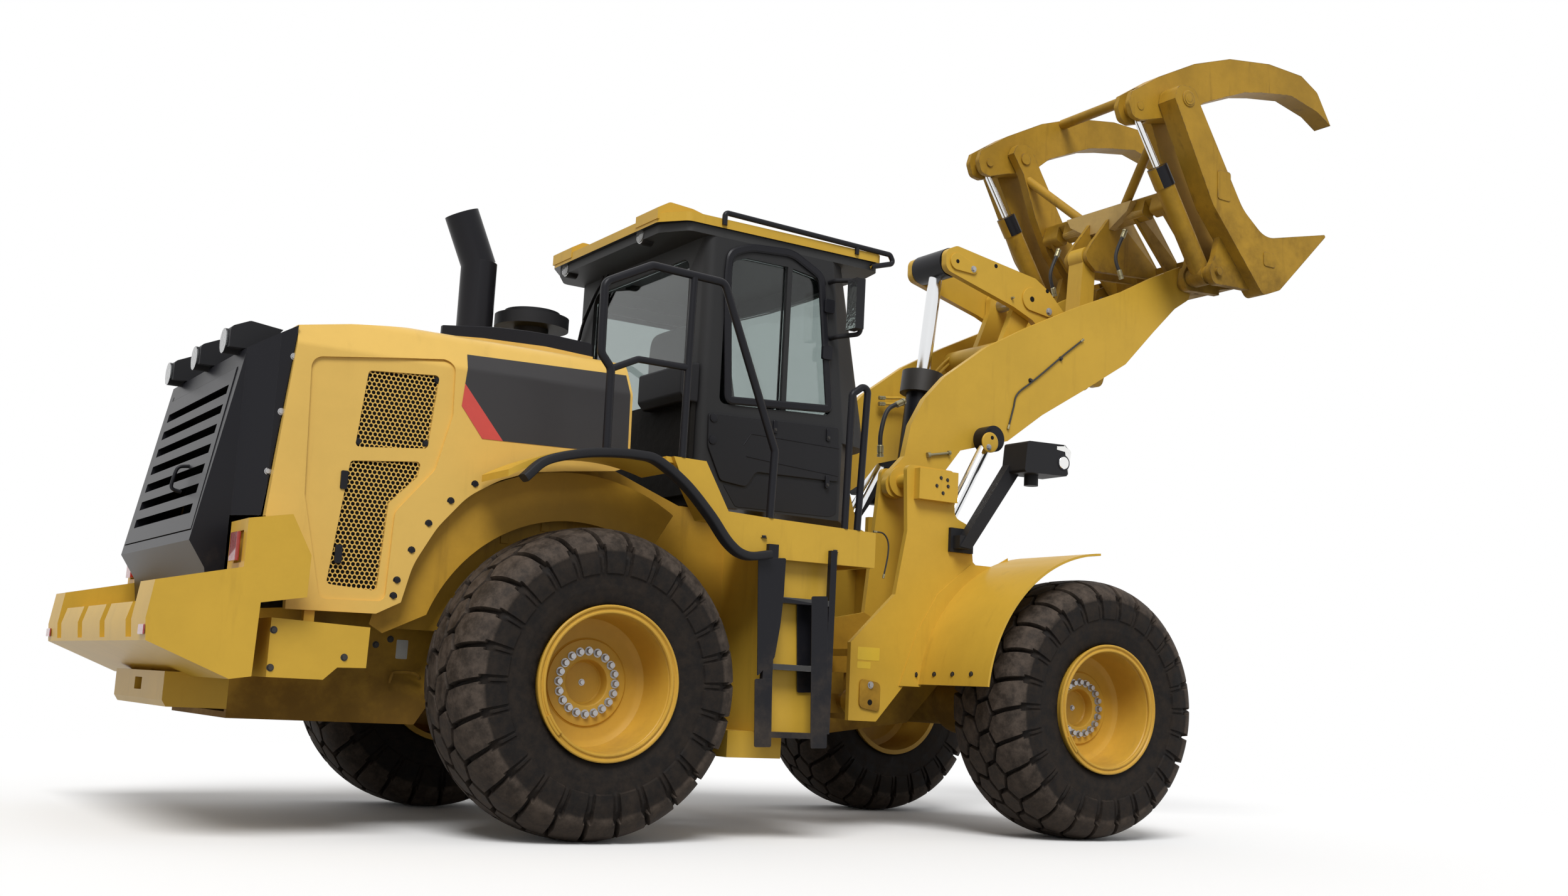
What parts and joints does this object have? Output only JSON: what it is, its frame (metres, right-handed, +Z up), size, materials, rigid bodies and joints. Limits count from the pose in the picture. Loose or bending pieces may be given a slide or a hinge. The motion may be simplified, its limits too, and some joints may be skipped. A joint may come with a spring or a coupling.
{
  "type": "wheel loader with logging fork",
  "caption": "Articulated wheel loader with raised arms, a Z-bar linkage and a logging fork with hydraulic top clamp.",
  "frame": {"origin": "centre of the machine's overall length and width, on the ground it stands on", "axes": "+X forward towards the fork, +Y to the operator's left, +Z up"},
  "size_m": [8.173, 2.77, 5.528],
  "materials": {
    "black_paint": "satin black",
    "black_plastic": "moulded textured black",
    "cast_iron": "painted cast housing",
    "chrome": "hard chrome",
    "fork_paint": "worn and scuffed yellow",
    "glass": "lightly tinted",
    "seat_fabric": "dark woven cloth",
    "steel": "bare pin steel",
    "tyre_rubber": "dusty black rubber",
    "yellow_paint": "machine yellow enamel, gloss, dusty low down"
  },
  "bodies": {
    "rear_machine": {"axle_rear": "cast_iron", "rear_frame": "yellow_paint", "pivot_pins": "steel", "counterweight": "yellow_paint", "top_cover": "black_plastic", "rear_surround": "black_plastic", "rear_lamps": "black_plastic", "engine_block": "cast_iron", "exhaust_stack": "black_paint", "precleaner": "black_plastic", "cab_shell": "black_plastic", "cab_glass": "glass", "cab_roof": "yellow_paint", "roof_liner": "black_plastic", "seat_base": "black_plastic", "seat_cushions": "seat_fabric", "steering_console": "black_plastic", "platforms": "yellow_paint", "rear_fenders": "yellow_paint", "fender_trims": "black_plastic", "ladders": "black_paint", "side_tanks": "yellow_paint", "battery_boxes": "yellow_paint", "handrails": "black_paint", "mirrors": "black_paint"},
    "hood": {"engine_hood": "yellow_paint", "vent_plates": "yellow_paint"},
    "grille": {"grille_door": "black_plastic"},
    "door": {"cab_door": "black_plastic", "door_glass": "glass"},
    "wheel_rear_left": {"tyre_rear_left": "tyre_rubber", "rim_rear_left": "yellow_paint"},
    "wheel_rear_right": {"tyre_rear_right": "tyre_rubber", "rim_rear_right": "yellow_paint"},
    "wheel_front_left": {"tyre_front_left": "tyre_rubber", "rim_front_left": "yellow_paint"},
    "wheel_front_right": {"tyre_front_right": "tyre_rubber", "rim_front_right": "yellow_paint"},
    "front_machine": {"front_frame": "yellow_paint", "axle_front": "cast_iron", "front_fenders": "yellow_paint", "headlamp_posts": "black_paint"},
    "arms": {"lift_arms": "yellow_paint"},
    "fork_pin_pair": {"fork_pins": "steel"},
    "lever_pin_body": {"lever_pin": "steel"},
    "lever": {"tilt_lever": "yellow_paint"},
    "link": {"tilt_link": "yellow_paint"},
    "fork": {"fork_frame": "fork_paint"},
    "clamp": {"top_clamp": "fork_paint"},
    "lift_tubes": {"lift_barrels": "black_paint"},
    "lift_stems": {"lift_rods": "chrome"},
    "tilt_pin_body": {"tilt_cylinder_pin": "steel"},
    "tilt_tube": {"tilt_barrel": "black_paint"},
    "tilt_stem": {"tilt_rod": "chrome"},
    "clamp_tubes": {"clamp_barrels": "fork_paint"},
    "clamp_stems": {"clamp_rods": "chrome"},
    "steer_tube_left": {"steer_barrel_left": "black_paint"},
    "steer_tube_right": {"steer_barrel_right": "black_paint"},
    "steer_stem_left": {"steer_rod_left": "chrome"},
    "steer_stem_right": {"steer_rod_right": "chrome"}
  },
  "joints": [
    {"name": "wheel_rear_left_roll", "type": "hinge", "parent": "rear_machine", "child": "wheel_rear_left", "pos_m": [-1.9085, 0, 0.782], "axis": [0, 1, 0], "continuous": true},
    {"name": "wheel_rear_right_roll", "type": "hinge", "parent": "rear_machine", "child": "wheel_rear_right", "pos_m": [-1.9085, 0, 0.782], "axis": [0, 1, 0], "continuous": true},
    {"name": "wheel_front_left_roll", "type": "hinge", "parent": "front_machine", "child": "wheel_front_left", "pos_m": [1.4415, 0, 0.782], "axis": [0, 1, 0], "continuous": true},
    {"name": "wheel_front_right_roll", "type": "hinge", "parent": "front_machine", "child": "wheel_front_right", "pos_m": [1.4415, 0, 0.782], "axis": [0, 1, 0], "continuous": true},
    {"name": "steering", "type": "hinge", "parent": "rear_machine", "child": "front_machine", "pos_m": [-0.2335, 0, 0.86], "axis": [0, 0, 1], "range_deg": [-40, 40]},
    {"name": "hood_tilt", "type": "hinge", "parent": "rear_machine", "child": "hood", "pos_m": [-3.4485, 0, 2.424], "axis": [0, -1, 0], "range_deg": [0, 45]},
    {"name": "grille_swing", "type": "hinge", "parent": "rear_machine", "child": "grille", "pos_m": [-3.74574, 0.71202, 1.79797], "axis": [-0.1814, 0.0735, -0.9807], "range_deg": [0, 90]},
    {"name": "door_swing", "type": "hinge", "parent": "rear_machine", "child": "door", "pos_m": [-1.0975, 0.822, 2.5], "axis": [0, 0, 1], "range_deg": [0, 64]},
    {"name": "lift", "type": "hinge", "parent": "front_machine", "child": "arms", "pos_m": [0.4815, 0, 2.13], "axis": [0, -1, 0], "range_deg": [-68, 9]},
    {"name": "fork_level", "type": "hinge", "parent": "arms", "child": "fork_pin_pair", "pos_m": [2.9665, 0, 3.87], "axis": [0, -1, 0], "range_deg": [-10, 69]},
    {"name": "fork_tilt", "type": "hinge", "parent": "fork_pin_pair", "child": "fork", "pos_m": [2.9665, 0, 3.87], "axis": [0, 1, 0], "range_deg": [-5, 85]},
    {"name": "lever_swing", "type": "hinge", "parent": "arms", "child": "lever_pin_body", "pos_m": [1.7465, 0, 3.585], "axis": [0, -1, 0], "range_deg": [-43, 6]},
    {"name": "lever_tilt", "type": "hinge", "parent": "lever_pin_body", "child": "lever", "pos_m": [1.7465, 0, 3.585], "axis": [0, -1, 0], "range_deg": [-3, 48]},
    {"name": "link_swing", "type": "hinge", "parent": "lever", "child": "link", "pos_m": [2.3665, 0, 3.13], "axis": [0, -1, 0], "range_deg": [-84, 5]},
    {"name": "lift_tube_swing", "type": "hinge", "parent": "front_machine", "child": "lift_tubes", "pos_m": [0.1665, 0, 0.755], "axis": [0, -1, 0], "range_deg": [-16, 2.2]},
    {"name": "lift_stem_slide", "type": "slide", "parent": "lift_tubes", "child": "lift_stems", "axis": [0.4826, 0, 0.8758], "range_m": [-0.68, 0.0901]},
    {"name": "tilt_tube_level", "type": "hinge", "parent": "front_machine", "child": "tilt_pin_body", "pos_m": [0.8765, 0, 1.925], "axis": [0, -1, 0], "range_deg": [-77, 10.5]},
    {"name": "tilt_tube_swing", "type": "hinge", "parent": "tilt_pin_body", "child": "tilt_tube", "pos_m": [0.8765, 0, 1.925], "axis": [0, -1, 0], "range_deg": [-7.8, 0.5]},
    {"name": "tilt_stem_slide", "type": "slide", "parent": "tilt_tube", "child": "tilt_stem", "axis": [0.1133, 0, 0.9936], "range_m": [-0.51, 0.031]},
    {"name": "clamp_swing", "type": "hinge", "parent": "fork", "child": "clamp", "pos_m": [2.4045, 0, 4.967], "axis": [0, -1, 0], "range_deg": [-20, 60]},
    {"name": "clamp_tube_swing", "type": "hinge", "parent": "fork", "child": "clamp_tubes", "pos_m": [2.8065, 0, 3.832], "axis": [0, -1, 0], "range_deg": [-0.7, 0.3]},
    {"name": "clamp_stem_slide", "type": "slide", "parent": "clamp_tubes", "child": "clamp_stems", "axis": [-0.5478, 0, 0.8366], "range_m": [-0.301, 0.101]},
    {"name": "steer_tube_swing_left", "type": "hinge", "parent": "rear_machine", "child": "steer_tube_left", "pos_m": [-0.9935, 0.33, 0.86], "axis": [0, 0, 1], "range_deg": [-9, 9]},
    {"name": "steer_stem_slide_left", "type": "slide", "parent": "steer_tube_left", "child": "steer_stem_left", "axis": [0.9996, -0.0297, 0], "range_m": [-0.209, 0.209]},
    {"name": "steer_tube_swing_right", "type": "hinge", "parent": "rear_machine", "child": "steer_tube_right", "pos_m": [-0.9935, -0.33, 0.86], "axis": [0, 0, 1], "range_deg": [-9, 9]},
    {"name": "steer_stem_slide_right", "type": "slide", "parent": "steer_tube_right", "child": "steer_stem_right", "axis": [0.9996, 0.0297, 0], "range_m": [-0.209, 0.209]}
  ],
  "couplings": [
    {"joint": "fork_level", "follows": "lift", "ratio": -1},
    {"joint": "lever_swing", "follows": "lift", "ratio": 0.62},
    {"joint": "lever_tilt", "follows": "fork_tilt", "ratio": 0.555},
    {"joint": "link_swing", "follows": "fork_tilt", "ratio": -0.98},
    {"joint": "lift_tube_swing", "follows": "lift", "ratio": 0.225},
    {"joint": "lift_stem_slide", "follows": "lift", "m_per_rad": 0.56723},
    {"joint": "tilt_tube_level", "follows": "lift", "ratio": 1.13},
    {"joint": "tilt_tube_swing", "follows": "fork_tilt", "ratio": -0.09},
    {"joint": "tilt_stem_slide", "follows": "fork_tilt", "m_per_rad": -0.33804},
    {"joint": "clamp_tube_swing", "follows": "clamp_swing", "ratio": -0.01},
    {"joint": "clamp_stem_slide", "follows": "clamp_swing", "m_per_rad": -0.28648},
    {"joint": "steer_tube_swing_left", "follows": "steering", "ratio": 0.22},
    {"joint": "steer_stem_slide_left", "follows": "steering", "m_per_rad": -0.29794},
    {"joint": "steer_tube_swing_right", "follows": "steering", "ratio": 0.22},
    {"joint": "steer_stem_slide_right", "follows": "steering", "m_per_rad": 0.29794}
  ]
}
